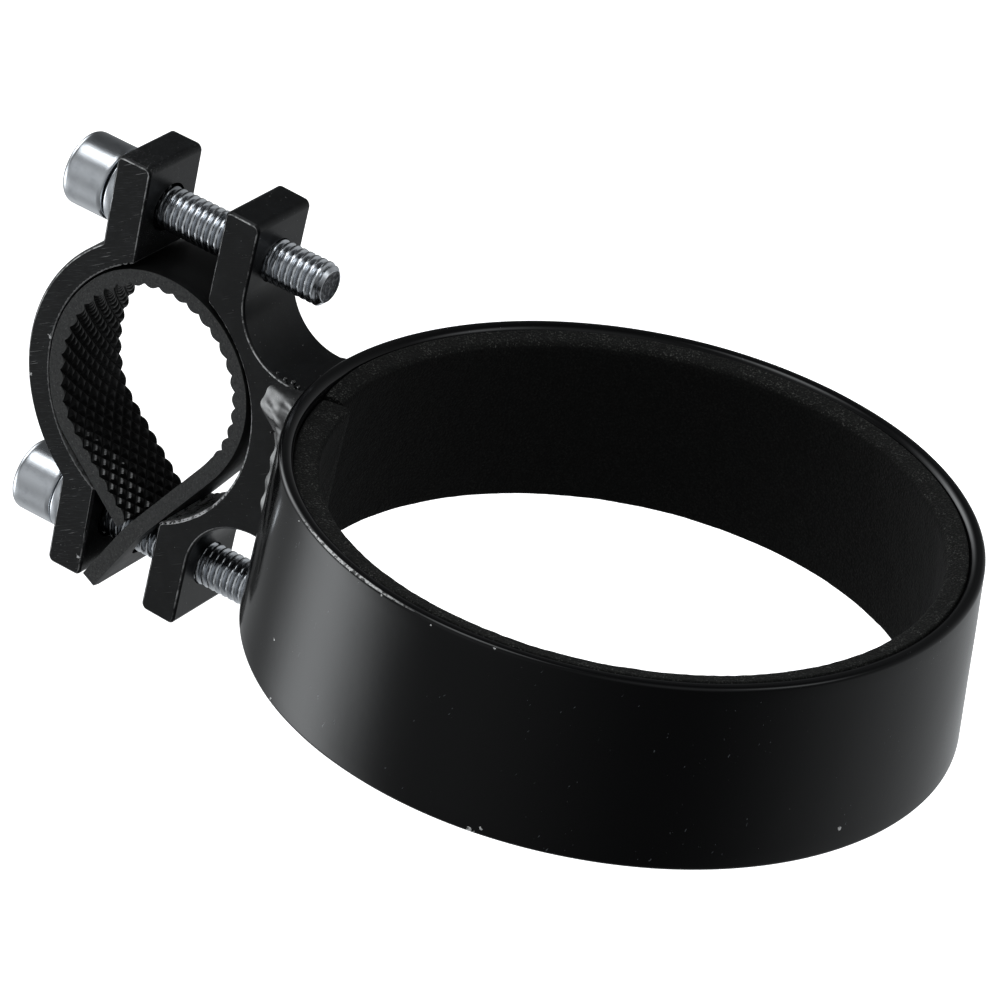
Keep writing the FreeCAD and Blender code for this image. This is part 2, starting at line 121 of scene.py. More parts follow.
class Finish(Nodes):
    """A material, with short names for the patterns that it is made of."""

    def __init__(self, name, colour, roughness, metallic=0.0):
        self.material = bpy.data.materials.new(name)
        self.material.use_nodes = True
        super().__init__(self.material.node_tree)
        self.shader = self.tree.nodes["Principled BSDF"]
        self.colour = (*colour, 1.0)
        self.shader.inputs["Base Color"].default_value = self.colour
        self.shader.inputs["Roughness"].default_value = roughness
        self.shader.inputs["Metallic"].default_value = metallic
        self.place = self.node("ShaderNodeTexCoord").outputs["Object"]
        self.normal = None

    def moved(self, stretch, lean=0.0):
        """Object coordinates, leant about Y, then drawn out where the stretch is large."""
        mapping = self.node("ShaderNodeMapping", vector_type="TEXTURE")
        self.feed(mapping.inputs["Vector"], self.place)
        mapping.inputs["Rotation"].default_value = (0, lean, 0)
        mapping.inputs["Scale"].default_value = stretch
        return mapping.outputs["Vector"]

    def noise(self, size_mm, stretch=(1, 1, 1), detail=3.0, roughness=0.5, lean=0.0):
        """Cloudy noise of about 0 to 1, with features of a size."""
        made = self.node("ShaderNodeTexNoise")
        self.feed(made.inputs["Vector"], self.moved(stretch, lean))
        made.inputs["Scale"].default_value = 1 / (size_mm * MM)
        made.inputs["Detail"].default_value = detail
        made.inputs["Roughness"].default_value = roughness
        return made.outputs["Fac"]

    def cells(self, size_mm):
        """Distance from the nearest cell's middle, in cells."""
        made = self.node("ShaderNodeTexVoronoi")
        self.feed(made.inputs["Vector"], self.place)
        made.inputs["Scale"].default_value = 1 / (size_mm * MM)
        return made.outputs["Distance"]

    def attribute(self, name):
        return self.node("ShaderNodeAttribute", attribute_name=name).outputs["Fac"]

    def distance(self, point):
        """Distance of the surface from a point of the frame, in metres."""
        return self.vector_math("DISTANCE", self.place, point)["Value"]

    def span(self, value, low, high, start=0.0, end=1.0):
        """Carry low..high to start..end, and hold it beyond them."""
        made = self.node("ShaderNodeMapRange", interpolation_type="SMOOTHSTEP")
        self.feed(made.inputs["Value"], value)
        for socket, number in zip(made.inputs[1:5], (low, high, start, end)):
            socket.default_value = number
        return made.outputs["Result"]

    def near(self, point, radius_mm):
        """1 inside a ragged spot round a point of the surface, and 0 outside it."""
        edge = self.span(self.noise(0.35, detail=2), 0.35, 0.65, 0.4, 1.3)
        reach = self.math("MULTIPLY", edge, radius_mm * MM)
        return self.math("LESS_THAN", self.distance(point), reach)

    def tint(self, mask, colour):
        """Lay a colour over what is there, where the mask is 1."""
        made = self.node("ShaderNodeMix", data_type="RGBA")
        self.feed(made.inputs["Factor"], mask)
        self.feed(made.inputs[6], self.colour)
        made.inputs[7].default_value = (*colour, 1.0)
        self.colour = made.outputs[2]
        self.feed(self.shader.inputs["Base Color"], self.colour)

    def shine(self, mask, low, high):
        """Roughness from low, where the mask is 0, to high, where it is 1."""
        self.feed(self.shader.inputs["Roughness"], self.span(mask, 0, 1, low, high))

    def bump(self, height, depth_mm, strength=1.0):
        """Raise the surface by up to a depth, over any bump that is there."""
        made = self.node("ShaderNodeBump")
        made.inputs["Distance"].default_value = depth_mm * MM
        made.inputs["Strength"].default_value = strength
        self.feed(made.inputs["Height"], height)
        if self.normal is not None:
            self.feed(made.inputs["Normal"], self.normal)
        self.normal = made.outputs["Normal"]
        self.feed(self.shader.inputs["Normal"], self.normal)


def ring_point(radius_mm, angle, height_mm):
    """A point of the cup ring's frame, at an angle from +X towards +Y."""
    across = RING_AWAY * math.cos(angle) + ALONG_BAR * math.sin(angle)
    return RING_MIDDLE + across * (radius_mm * MM) + RING_UP * (height_mm * MM)


def ring_radius(height_mm):
    """The cup ring's outer radius at a height above its middle, in millimetres."""
    slope = (RING_BOTTOM_RADIUS_MM - RING_TOP_RADIUS_MM) / RING_HEIGHT_MM
    return (RING_TOP_RADIUS_MM + RING_BOTTOM_RADIUS_MM) / 2 - height_mm * slope


# Chips through the ring's coating: angle in degrees, height and size in mm.
RING_CHIPS = (
    (-121.0, -11.5, 0.22),
    (-78.0, -12.0, 0.5),
    (-76.3, -11.2, 0.22),
    (-19.0, -9.0, 0.24),
    (-80.0, 12.2, 0.2),
    (-125.0, 11.6, 0.22),
    (-109.0, 12.1, 0.24),
    (-101.0, 11.9, 0.14),
    (-91.0, 11.7, 0.13),
    (-124.0, -4.6, 0.2),
    (35.0, 12.1, 0.3),
    (96.0, -12.0, 0.5),
)


def ring_finish():
    """Smooth satin-black coating with dust, hair scratches and chipped rims, and a bare line on the front-left
    outer rim that is partly wear and partly a painted highlight.
    """
    made = Finish("ring_coating", (0.0042, 0.0042, 0.0046), 0.2)
    made.shader.inputs["Specular IOR Level"].default_value = 0.3
    made.shine(made.noise(6, detail=4), 0.07, 0.13)
    dust_and_glint = made.span(made.noise(0.22, detail=1), 0.8, 0.84)
    patches = made.span(made.noise(7, detail=2), 0.45, 0.62)
    made.tint(made.math("MULTIPLY", dust_and_glint, patches), DUST)
    hair = made.span(made.noise(0.12, stretch=(3, 3, 12), detail=2, lean=0.5), 0.72, 0.75)
    where = made.span(made.noise(9, detail=1), 0.54, 0.62)
    made.tint(made.math("MULTIPLY", hair, where), (0.12, 0.13, 0.14))
    # Partly wear, partly a painted highlight: a broken bare line along the front-left outer top rim.
    line = made.span(made.attribute("rim_wear_and_highlight"), 0.7, 0.93)
    broken = made.span(made.noise(0.5, detail=5), 0.38, 0.54, 0.12, 1.0)
    worn = made.math("MULTIPLY", line, broken)
    for angle, height, size in RING_CHIPS:
        point = ring_point(ring_radius(height), math.radians(angle), height)
        worn = made.math("MAXIMUM", worn, made.near(point, size))
    made.tint(worn, BARE_METAL)
    made.bump(made.noise(1.3, detail=2), 0.012, 0.35)
    made.bump(made.math("SUBTRACT", 1.0, worn), 0.05)
    return made.material


# The lean of the milled faces' fine lines.
BRUSHED_LEAN = math.radians(-27)
# The marks round a bore: their spacing, and how far outside it they start.
MARK_SPACING_MM = 0.75
MARK_START_MM = 0.13


def bore_marks(made, bore_middle, bore_radius_mm, depth_mm):
    """1 on the small marks that the cutter left round a clamp half's bore."""
    parts = made.node("ShaderNodeSeparateXYZ")
    away = made.vector_math("SUBTRACT", made.place, bore_middle)
    made.feed(parts.inputs[0], away["Vector"])
    flat = made.node("ShaderNodeCombineXYZ")
    made.feed(flat.inputs["X"], parts.outputs["X"])
    made.feed(flat.inputs["Z"], parts.outputs["Z"])
    apart = made.vector_math("DISTANCE", flat.outputs["Vector"], (0, 0, 0))["Value"]
    angle = made.math("ARCTAN2", parts.outputs["Z"], parts.outputs["X"], clamp=False)
    marks = 2 * math.pi * bore_radius_mm / MARK_SPACING_MM
    wave = made.math("SINE", made.math("MULTIPLY", angle, marks, clamp=False), clamp=False)
    middle = (bore_radius_mm + MARK_START_MM + depth_mm) * MM
    reach = made.math("MULTIPLY_ADD", wave, depth_mm * MM, middle, clamp=False)
    return made.math("LESS_THAN", apart, reach)


def clamp_finish(name, scratched, bore, marks_shine, specks=()):
    """Milled faces under a thin matt-black coating, worn through along the edges."""
    made = Finish(name, (0.0042, 0.0045, 0.005), 0.42)
    made.shader.inputs["Specular IOR Level"].default_value = 0.3
    mottle = made.noise(2.2, detail=6, roughness=0.65)
    made.tint(made.span(mottle, 0.42, 0.72, 0, 0.65), (0.0105, 0.0115, 0.0125))
    milled = made.noise(0.14, stretch=(16, 1, 1), detail=4, roughness=0.7, lean=BRUSHED_LEAN)
    made.tint(made.span(milled, 0.5, 0.68, 0, 0.75 * scratched), (0.042, 0.044, 0.047))
    crossed = made.noise(0.13, stretch=(22, 1, 1), detail=2, lean=BRUSHED_LEAN * 1.25)
    where = made.span(made.noise(5, detail=2), 0.42, 0.58, 0.1 * scratched, 0.95 * scratched)
    made.tint(made.math("MULTIPLY", made.span(crossed, 0.66, 0.71), where), (0.3, 0.3, 0.3))
    grit = made.span(made.noise(0.3, detail=1), 0.76, 0.79, 0, 0.9)
    made.tint(grit, (0.3, 0.3, 0.3))
    made.shine(mottle, 0.25, 0.38)

    edge = made.span(made.noise(0.9, detail=5, roughness=0.7), 0.38, 0.58, 0.15, 1.0)
    patchy = made.span(made.noise(8, detail=2), 0.34, 0.56, 0.2, 1.0)
    line = made.span(made.attribute("wear"), 0.5, 0.85)
    worn = made.math("MULTIPLY", line, made.math("MULTIPLY", edge, patchy))
    shining = made.span(edge, 0.1, 0.9, 0.1, marks_shine)
    marked = made.math("MULTIPLY", bore_marks(made, *bore), shining)
    worn = made.math("MAXIMUM", worn, marked)
    for spot, size in specks:
        worn = made.math("MAXIMUM", worn, made.near(Vector(spot) * MM, size))
    made.tint(worn, (0.88, 0.88, 0.88))
    made.bump(milled, 0.02, 0.4 * scratched)
    made.bump(made.noise(0.35, detail=3), 0.02, 0.3)
    return made.material


def weld_finish():
    """Thick glossy coating, pooled over the weld's ripples."""
    made = Finish("weld_coating", (0.004, 0.0042, 0.0046), 0.17)
    made.shader.inputs["Coat Weight"].default_value = 0.8
    made.shader.inputs["Coat Roughness"].default_value = 0.12
    made.shine(made.noise(1.2, detail=3), 0.14, 0.26)
    specks = made.span(made.noise(0.25, detail=1), 0.72, 0.76, 0, 0.6)
    made.tint(specks, DUST)
    made.bump(made.noise(1.8, detail=2), 0.12, 0.5)
    return made.material


def rubber_finish():
    """Grainy matt rubber, as it is on the strip's cut edges."""
    made = Finish("strip_rubber", (0.024, 0.0245, 0.0242), 0.55)
    mottle = made.noise(0.7, detail=6, roughness=0.7)
    made.tint(made.span(mottle, 0.4, 0.7, 0, 0.85), (0.062, 0.063, 0.061))
    grains = made.noise(0.34, detail=4, roughness=0.7)
    made.tint(made.span(grains, 0.56, 0.68, 0, 0.85), (0.14, 0.14, 0.135))
    pits = made.noise(0.3, detail=3)
    made.tint(made.span(pits, 0.38, 0.48, 0.8, 0), (0.011, 0.011, 0.011))
    made.shine(mottle, 0.45, 0.65)
    made.bump(made.noise(0.3, detail=4, roughness=0.65), 0.07, 0.9)
    return made.material


def rubber_skin_finish():
    """The strip's moulded faces: a darker, smoother skin, with painted glints on its knurl's flanks."""
    made = Finish("strip_rubber_skin", (0.0045, 0.0045, 0.0045), 0.4)
    made.shader.inputs["Specular IOR Level"].default_value = 0.22
    mottle = made.noise(1.4, detail=5, roughness=0.65)
    made.tint(made.span(mottle, 0.42, 0.7, 0, 0.8), (0.008, 0.008, 0.0078))
    # Painted glints: near-white dashes on the knurl's flanks.
    made.tint(made.attribute("dust_and_glint"), (0.95, 0.95, 0.95))
    made.shine(mottle, 0.38, 0.55)
    made.bump(made.noise(0.3, detail=4, roughness=0.65), 0.03, 0.5)
    return made.material


def foam_finish():
    """Closed-cell foam: a dull black skin, speckled with small burst cells."""
    made = Finish("liner_foam", (0.0052, 0.0052, 0.005), 0.95)
    made.shader.inputs["Specular IOR Level"].default_value = 0.2
    cells = made.cells(0.34)
    made.tint(made.span(cells, 0.15, 0.6, 0.55, 0), (0.014, 0.0142, 0.0133))
    cut = made.attribute("cut")
    made.tint(made.math("MULTIPLY", cut, 0.6), (0.011, 0.0112, 0.0105))
    clumps = made.span(made.noise(2.6, detail=3), 0.4, 0.62, 0.35, 1.0)
    burst = made.span(made.noise(0.26, detail=3, roughness=0.75), 0.54, 0.66)
    burst = made.math("MULTIPLY", burst, clumps)
    burst = made.math("MULTIPLY", burst, made.span(cut, 0, 1, 0.12, 1.0))
    made.tint(burst, (0.11, 0.11, 0.103))
    made.bump(cells, 0.14, 0.8)
    made.bump(made.noise(0.5, detail=4), 0.12, 0.6)
    return made.material


def adhesive_finish():
    """A thin film of hazy adhesive."""
    made = Finish("liner_adhesive", (0.2, 0.19, 0.17), 0.5)
    made.tint(made.span(made.noise(1.5, detail=4), 0.4, 0.7), (0.3, 0.28, 0.24))
    made.bump(made.noise(0.8, detail=3), 0.03, 0.5)
    return made.material


def zinc_finish():
    """Bright zinc plating with fine turning marks and small stains, and painted shade in the thread's roots and
    along the thread near the head.
    """
    made = Finish("bright_zinc", (0.74, 0.765, 0.8), 0.24, metallic=1.0)
    stains = made.noise(1.8, detail=5, roughness=0.6)
    made.tint(made.span(stains, 0.45, 0.75, 0, 0.6), (0.56, 0.59, 0.63))
    pits = made.span(made.noise(0.16, detail=2), 0.68, 0.76, 0, 0.5)
    made.tint(pits, (0.3, 0.31, 0.33))
    # Painted shade: the thread's roots are darkened.
    made.tint(made.attribute("painted_root_shade"), (0.2, 0.21, 0.225))
    # Painted shade: the thread is darkened near the head, where the clamp's ears shade it.
    made.tint(made.attribute("painted_thread_shade"), (0.012, 0.013, 0.014))
    drawn = made.noise(0.12, stretch=(14, 1, 1), detail=3)
    made.shine(drawn, 0.13, 0.26)
    made.bump(drawn, 0.008, 0.5)
    made.bump(made.noise(0.6, detail=2), 0.01, 0.3)
    return made.material


# How closely the cut's rings follow each other, in radians per metre.
CUT_RINGS = 14000


def cut_end_finish(centre):
    """The dull sheared end of a screw, with rings left by the cut."""
    made = Finish("cut_end", (0.09, 0.095, 0.105), 0.42, metallic=1.0)
    turns = made.math("MULTIPLY", made.distance(centre), CUT_RINGS, clamp=False)
    made.tint(made.span(made.noise(0.5, detail=4), 0.45, 0.65), (0.3, 0.31, 0.33))
    made.bump(made.math("SINE", turns, clamp=False), 0.03, 0.7)
    made.bump(made.noise(0.4, detail=4), 0.12, 0.8)
    return made.material


# ------------------------------------------------------------- mesh building

def face_outward(mesh):
    """Turn every closed part of a mesh so that its faces look outward."""
    shape = bmesh.new()
    shape.from_mesh(mesh)
    bmesh.ops.recalc_face_normals(shape, faces=shape.faces)
    shape.to_mesh(mesh)
    shape.free()


def new_piece(name, points, faces, material, body, replaced, sharp):
    """Make a smooth mesh object that stands for a CAD node and rides on its body.

    Edges that turn by more than sharp, in degrees, stay sharp.
    """
    mesh = bpy.data.meshes.new(name)
    mesh.from_pydata([tuple(p) for p in points], [], [tuple(f) for f in faces])
    mesh.materials.append(material)
    mesh.validate()
    face_outward(mesh)
    mesh.shade_smooth()
    mesh.set_sharp_from_angle(angle=math.radians(sharp))
    item = bpy.data.objects.new(name, mesh)
    bpy.context.scene.collection.objects.link(item)
    if body:
        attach(item, body)
    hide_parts(replaced)
    return item


def set_attribute(item, name, values):
    """Give each point of a mesh a number, for its material to read."""
    made = item.data.attributes.new(name, "FLOAT", "POINT")
    made.data.foreach_set("value", np.asarray(values, np.float32))


def loop_faces(loops, count, closed):
    """Quads between loops of count points each, with end faces unless closed."""
    faces = []
    for row in range(loops if closed else loops - 1):
        after = (row + 1) % loops
        for column in range(count):
            beside = (column + 1) % count
            faces.append((
                row * count + column, row * count + beside,
                after * count + beside, after * count + column))
    if not closed:
        faces.append(tuple(reversed(range(count))))
        faces.append(tuple(range((loops - 1) * count, loops * count)))
    return faces


def rounded_section(corners, radii, arc_steps, side_steps):
    """A closed outline through corners, each rounded, as (x, y, corner, bulge) points.

    A corner's arc points have its number and a bulge up to 1. Others have -1 and 0.
    """
    arcs = []
    for index, radius in enumerate(radii):
        corner = Vector(corners[index])
        before = (Vector(corners[index - 1]) - corner).normalized()
        after = (Vector(corners[(index + 1) % len(corners)]) - corner).normalized()
        half = before.angle(after) / 2
        reach = radius / math.tan(half)
        centre = corner + (before + after).normalized() * (radius / math.sin(half))
        arcs.append((corner + before * reach, corner + after * reach, centre))
    outline = []
    for index, (start, end, centre) in enumerate(arcs):
        first = start - centre
        swept = first.angle_signed(end - centre)
        for step in range(arc_steps + 1):
            turned = Matrix.Rotation(-swept * step / arc_steps, 2) @ first
            outline.append((*(centre + turned), index, math.sin(math.pi * step / arc_steps)))
        next_start = arcs[(index + 1) % len(arcs)][0]
        for step in range(1, side_steps[index]):
            point = end.lerp(next_start, step / side_steps[index])
            outline.append((*point, -1, 0.0))
    return outline


def wobble(point, size_mm, seed):
    """Smooth noise of about -1 to 1 at a point of the frame."""
    return noise.noise(point / (size_mm * MM) + Vector((seed, seed, seed)))


# ---------------------------------------------------------------- ring, foam

# The band's corners, from its outer bottom one over its top, and how they are rounded.
RING_ROUNDING_MM = (0.6, 0.6, 1.1, 0.6)
OUTER_TOP = 1
RING_STEPS = 432
# The outer rim is painted bare round this angle, over about this width, in degrees: partly wear, partly a painted
# highlight.
RIM_WEAR_AND_HIGHLIGHT = 250.0
RIM_WEAR_AND_HIGHLIGHT_WIDTH = 24.0


def ring_band(material):
    """The rolled metal band, a hair out of round, with rounded rims."""
    half = RING_HEIGHT_MM / 2
    corners = [
        (ring_radius(-half), -half),
        (ring_radius(half), half),
        (ring_radius(half) - RING_THICKNESS_MM, half),
        (ring_radius(-half) - RING_THICKNESS_MM, -half),
    ]
    section = rounded_section(corners, RING_ROUNDING_MM, 9, (14, 3, 6, 3))
    points, rims = [], []
    for step in range(RING_STEPS):
        angle = 2 * math.pi * step / RING_STEPS
        # Where the outer rim's bare line is painted: partly wear, partly a painted highlight.
        wear_and_highlight = math.exp(-((math.degrees(angle) - RIM_WEAR_AND_HIGHLIGHT) / RIM_WEAR_AND_HIGHLIGHT_WIDTH) ** 2)
        for radius, height, corner, bulge in section:
            point = ring_point(radius, angle, height)
            dent = 0.03 * (wobble(point, 17, 4.0) - 1) + 0.02 * (wobble(point, 6, 9.0) - 1)
            points.append(ring_point(radius + dent, angle, height))
            rims.append(bulge * (0.3 + 0.7 * wear_and_highlight * (corner == OUTER_TOP)))
    faces = loop_faces(RING_STEPS, len(section), closed=True)
    item = new_piece(
        "ring_band", points, faces, material, "holder", "holder_ring", 60)
    set_attribute(item, "rim_wear_and_highlight", rims)


SEAM_ANGLE = math.radians(190)
SEAM_OPENING = math.radians(0.7)
FOAM_STEPS = 900
FOAM_ROUNDING_MM = (0.3, 0.3, 0.7, 0.6)
# One end stands proud of the liner, and sinks into it over about this share of its length.
PROUD_MM = 1.25
PROUD_FADE = 0.075
# How far the squeezed top edge rises over its recess, by the ring and by the cup.
FOAM_RISE_MM = (1.15, 0.5)


def foam_pad(material):
    """The foam strip bent into a liner, its two ends meeting at the seam."""
    top = RING_HEIGHT_MM / 2 - FOAM_TOP_RECESS_MM
    bottom = -RING_HEIGHT_MM / 2 + FOAM_BOTTOM_RECESS_MM
    inset = RING_THICKNESS_MM + ADHESIVE_MM
    corners = [
        (ring_radius(bottom) - inset, bottom),
        (ring_radius(top) - inset, top),
        (ring_radius(top) - inset - FOAM_THICKNESS_MM, top),
        (ring_radius(bottom) - inset - FOAM_THICKNESS_MM, bottom),
    ]
    section = rounded_section(corners, FOAM_ROUNDING_MM, 5, (12, 7, 44, 7))
    by_ring, by_cup = FOAM_RISE_MM
    points, cut = [], []
    for step in range(FOAM_STEPS + 1):
        share = step / FOAM_STEPS
        angle = SEAM_ANGLE + SEAM_OPENING / 2 + (2 * math.pi - SEAM_OPENING) * share
        proud = PROUD_MM * math.exp(-share / PROUD_FADE)
        drop = 0.25 * math.exp(-min(share, 1 - share) * FOAM_STEPS / 5)
        settled = min(1.0, max(0.0, (share - 0.06) / 0.14), 0.4 + (1 - share) / 0.05)
        ragged = 0.6 * math.exp(-share / 0.03)
        for radius, height, _, _ in section:
            inward = (ring_radius(height) - inset - radius) / FOAM_THICKNESS_MM
            point = ring_point(radius, angle, height)
            rough = 0.05 * wobble(point, 0.9, 2.0) + 0.09 * wobble(point, 4.0, 5.0)
            swell = 0.0
            if inward > 0.05:
                swell = proud * inward + rough * min(1.0, inward * 2) - drop * inward
            rise = settled * (by_ring + (by_cup - by_ring) * inward)
            uneven = 0.06 * wobble(point, 1.1, 7.0) * min(1.0, inward * 3)
            lift = (rise - drop + uneven) * max(0.0, height - top + 1.0)
            points.append(ring_point(radius - swell, angle, height + lift))
            if height > top - 0.25 or height < bottom + 0.25:
                cut.append(1.0)
            else:
                cut.append(ragged if inward > 0.5 else 0.0)
    faces = loop_faces(FOAM_STEPS + 1, len(section), closed=False)
    item = new_piece("foam_pad", points, faces, material, "holder", "foam_liner", 70)
    set_attribute(item, "cut", cut)


# --------------------------------------------------------------- clamp halves

def clamp_half(name, node, body, material):
    """A clamp half in its CAD shape, its broken edges marked for wear."""
    item = bpy.data.objects.new(name, NODES[node].data.copy())
    bpy.context.scene.collection.objects.link(item)
    mesh = item.data
    mesh.materials.clear()
    mesh.materials.append(material)
    mesh.polygons.foreach_set("material_index", [0] * len(mesh.polygons))
    wear = mesh.attributes.new("wear", "FLOAT", "CORNER")
    marks = np.zeros(len(mesh.loops), np.float32)
    flat_side = max(abs(vertex.co.y) for vertex in mesh.vertices) - 0.02 * MM
    for face in mesh.polygons:
        leans = 0.25 < abs(face.normal.y) < 0.96
        for corner in face.loop_indices if leans else ():
            vertex = mesh.vertices[mesh.loops[corner].vertex_index]
            marks[corner] = abs(vertex.co.y) > flat_side
    wear.data.foreach_set("value", marks)
    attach(item, body)
    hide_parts(node)


# --------------------------------------------------------------- rubber strip

BAR_RADIUS_MM = 12.5
STRIP_THICKNESS_MM = 2.35
# The strip's inner face in millimetres, from its hidden tail to its short one.
# Each leg is a line's length, or an arc's radius and its turn in degrees.
STRIP_LEGS = (
    ("line", 9.7),
    ("arc", 20.0, -7.0),
    ("line", 15.5),
    ("arc", 17.0, 23.0),
    ("arc", BAR_RADIUS_MM, 150.0),
    ("arc", 16.55, 65.0),
    ("arc", 10.0, 25.5),
    ("line", 13.2),
)
BAR_LEG = 4
STRIP_HEADING = math.radians(64)
# The knurl's crossed ridges, with KNURL_ROWS pitches across and KNURL_STEPS points a pitch.
KNURL_PITCH_MM = 2.15
KNURL_ROWS = 6.0
KNURL_DEPTH_MM = 0.5
KNURL_STEPS = 14
KNURL_START_MM = 30.0
# Painted glints lie on the knurl's flanks over this length of the short tail.
GLINT_REACH_MM = 15.0
STRIP_HOLE_MM = 3.5
# The outer face's points across, how far its corners are rounded off, and the edges' middle.
OUTER_COLUMNS = 14
OUTER_DROP_MM = 0.15
EDGE_MIDDLE_MM = 0.9


def strip_stations():
    """Points along the strip's inner face, each with its heading, in millimetres."""
    spacing = KNURL_PITCH_MM / KNURL_STEPS
    point, heading = Vector((0, 0)), STRIP_HEADING
    stations, travelled, bar_middle = [], 0.0, Vector((0, 0))
    for index, leg in enumerate(STRIP_LEGS):
        turn = math.radians(leg[2]) if leg[0] == "arc" else 0.0
        length = leg[1] * abs(turn) if turn else leg[1]
        left = Vector((-math.sin(heading), math.cos(heading)))
        centre = point + left * math.copysign(leg[1], turn)
        if index == BAR_LEG:
            bar_middle = centre
        while len(stations) * spacing <= travelled + length:
            along = len(stations) * spacing - travelled
            swept = turn * along / length
            if turn:
                place = centre + Matrix.Rotation(swept, 2) @ (point - centre)
            else:
                place = point + Vector((math.cos(heading), math.sin(heading))) * along
            stations.append((place, heading + swept))
        if turn:
            point = centre + Matrix.Rotation(turn, 2) @ (point - centre)
        else:
            point = point + Vector((math.cos(heading), math.sin(heading))) * length
        travelled += length
        heading += turn
    return [(place - bar_middle, angle) for place, angle in stations]


def knurl(along, rows):
    """Height of the crossed ridges, from 0 in a groove to 1 on a crest."""
    pitches = along / KNURL_PITCH_MM
    one_way = abs(math.sin(math.pi * (pitches + rows)))
    other_way = abs(math.sin(math.pi * (pitches - rows)))
    rise = min(1.0, max(0.0, (along - KNURL_START_MM) / KNURL_PITCH_MM))
    return 1 - rise * (1 - min(one_way, other_way) ** 0.9)


def knurl_glint(along, rows, length):
    """Painted glints on one flank of each knurl, near the short tail's front edge."""
    reached = min(1.0, max(0.0, (along - length + GLINT_REACH_MM) / GLINT_REACH_MM * 1.6))
    if rows > 0.4 + 2.3 * reached:
        return 0.0
    first = (along / KNURL_PITCH_MM + rows) % 1.0
    second = (along / KNURL_PITCH_MM - rows) % 1.0
    flank = max(0.0, 1 - abs(first - 0.286) / 0.05)
    return reached * flank * (1.0 if abs(second - 0.5) < 0.27 else 0.0)


def grip_band(material, skin):
    """The rubber strip, knurled on the side that grips the bar."""
    low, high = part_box("grip_strip")
    front, back = low.y / MM, high.y / MM
    columns = int(KNURL_ROWS * KNURL_STEPS)
    stations = strip_stations()
    length = len(stations) * KNURL_PITCH_MM / KNURL_STEPS
    points, marks, knurl_glints = [], [], []
    for index, (place, heading) in enumerate(stations):
        outward = Vector((math.sin(heading), -math.cos(heading)))
        along = index * KNURL_PITCH_MM / KNURL_STEPS
        ring = []
        for column in range(columns + 1):
            depth = KNURL_DEPTH_MM * (1 - knurl(along, column / KNURL_STEPS))
            ring.append((depth, front + (back - front) * column / columns, "knurled"))
        ring.append((EDGE_MIDDLE_MM, back, "edge"))
        for column in range(OUTER_COLUMNS + 1):
            share = 1 - column / OUTER_COLUMNS
            drop = OUTER_DROP_MM if column in (0, OUTER_COLUMNS) else 0.0
            ring.append((STRIP_THICKNESS_MM - drop, front + (back - front) * share, "outer"))
        ring.append((EDGE_MIDDLE_MM, front, "edge"))
        for depth, across, mark in ring:
            x, z = place + outward * depth
            points.append((x * MM, across * MM, z * MM))
            marks.append(mark)
        rows = [column / KNURL_STEPS for column in range(columns + 1)]
        # Painted glints on the knurl's flanks, near the short tail.
        knurl_glints += [knurl_glint(along, row, length) for row in rows]
        knurl_glints += [0.0] * (len(ring) - len(rows))
    faces = loop_faces(len(stations), len(ring), closed=False)
    item = new_piece("grip_band", points, faces, material, None, "grip_strip", 50)
    item.data.materials.append(skin)
    for face in item.data.polygons:
        kinds = {marks[vertex] for vertex in face.vertices}
        if face.loop_total == 4 and kinds in ({"knurled"}, {"outer"}):
            face.material_index = 1
    set_attribute(item, "dust_and_glint", knurl_glints)
    return item


PASSAGE_SIDES = 48
PASSAGE_ENDS = (-0.01, 0.045)


def cut_passage(item, joint, radius_mm):
    """Cut a bolt's round passage through a piece, along the bolt's joint."""
    middle, axis, side, up = axis_frame(joint)
    rims = []
    for distance in PASSAGE_ENDS:
        for step in range(PASSAGE_SIDES):
            angle = 2 * math.pi * step / PASSAGE_SIDES
            across = side * math.cos(angle) + up * math.sin(angle)
            rims.append(tuple(middle + axis * distance + across * (radius_mm * MM)))
    pin = bpy.data.meshes.new("passage")
    pin.from_pydata(rims, [], loop_faces(2, PASSAGE_SIDES, closed=False))
    cutter = bpy.data.objects.new("passage", pin)
    bpy.context.scene.collection.objects.link(cutter)
    modifier = item.modifiers.new("passage", "BOOLEAN")
    modifier.operation = "DIFFERENCE"
    modifier.solver = "EXACT"
    modifier.object = cutter
    bpy.context.view_layer.update()
    graph = bpy.context.evaluated_depsgraph_get()
    cut = bpy.data.meshes.new_from_object(item.evaluated_get(graph))
    item.modifiers.clear()
    item.data = cut
    bpy.data.objects.remove(cutter)
    bpy.data.meshes.remove(pin)


# ------------------------------------------------------------- screws, washers

HEAD_RADIUS_MM = 5.0
HEAD_HEIGHT_MM = 6.5
HEAD_ROUNDING_MM = 1.0
BOLT_LENGTH_MM = 32.45
KEY_MM = 5.0
KEY_DEPTH_MM = 3.2
CREST_MM = 2.94
ROOT_MM = 2.42
PITCH_MM = 1.0
PITCH_STEPS = 12
TURN_STEPS = 60
# The cut end's rings: how far each lies inside the screw's length, and its radius.
CUT_END_MM = ((0.02, 2.05), (0.1, 1.9), (0.14, 0.9), (0.18, 0.02))
# The thread is painted dark, as shade, up to the first distance from the head, and the painted shade is gone from
# the second.
THREAD_SHADE_MM = {"upper_bolt": (6.4, 9.4), "lower_bolt": (7.0, 12.6)}
WASHER_RADIUS_MM = 5.05
WASHER_HOLE_MM = 3.3
WASHER_THICKNESS_MM = 1.5
WASHER_GAP_MM = {"upper_bolt": 0.35, "lower_bolt": 0.1}


def axis_frame(joint):
    """A joint's pivot and three directions, the first along its axis."""
    axis = Vector(joint["axis"]).normalized()
    side = ALONG_BAR.copy()
    return Vector(joint["pos_m"]), axis, side, axis.cross(side)


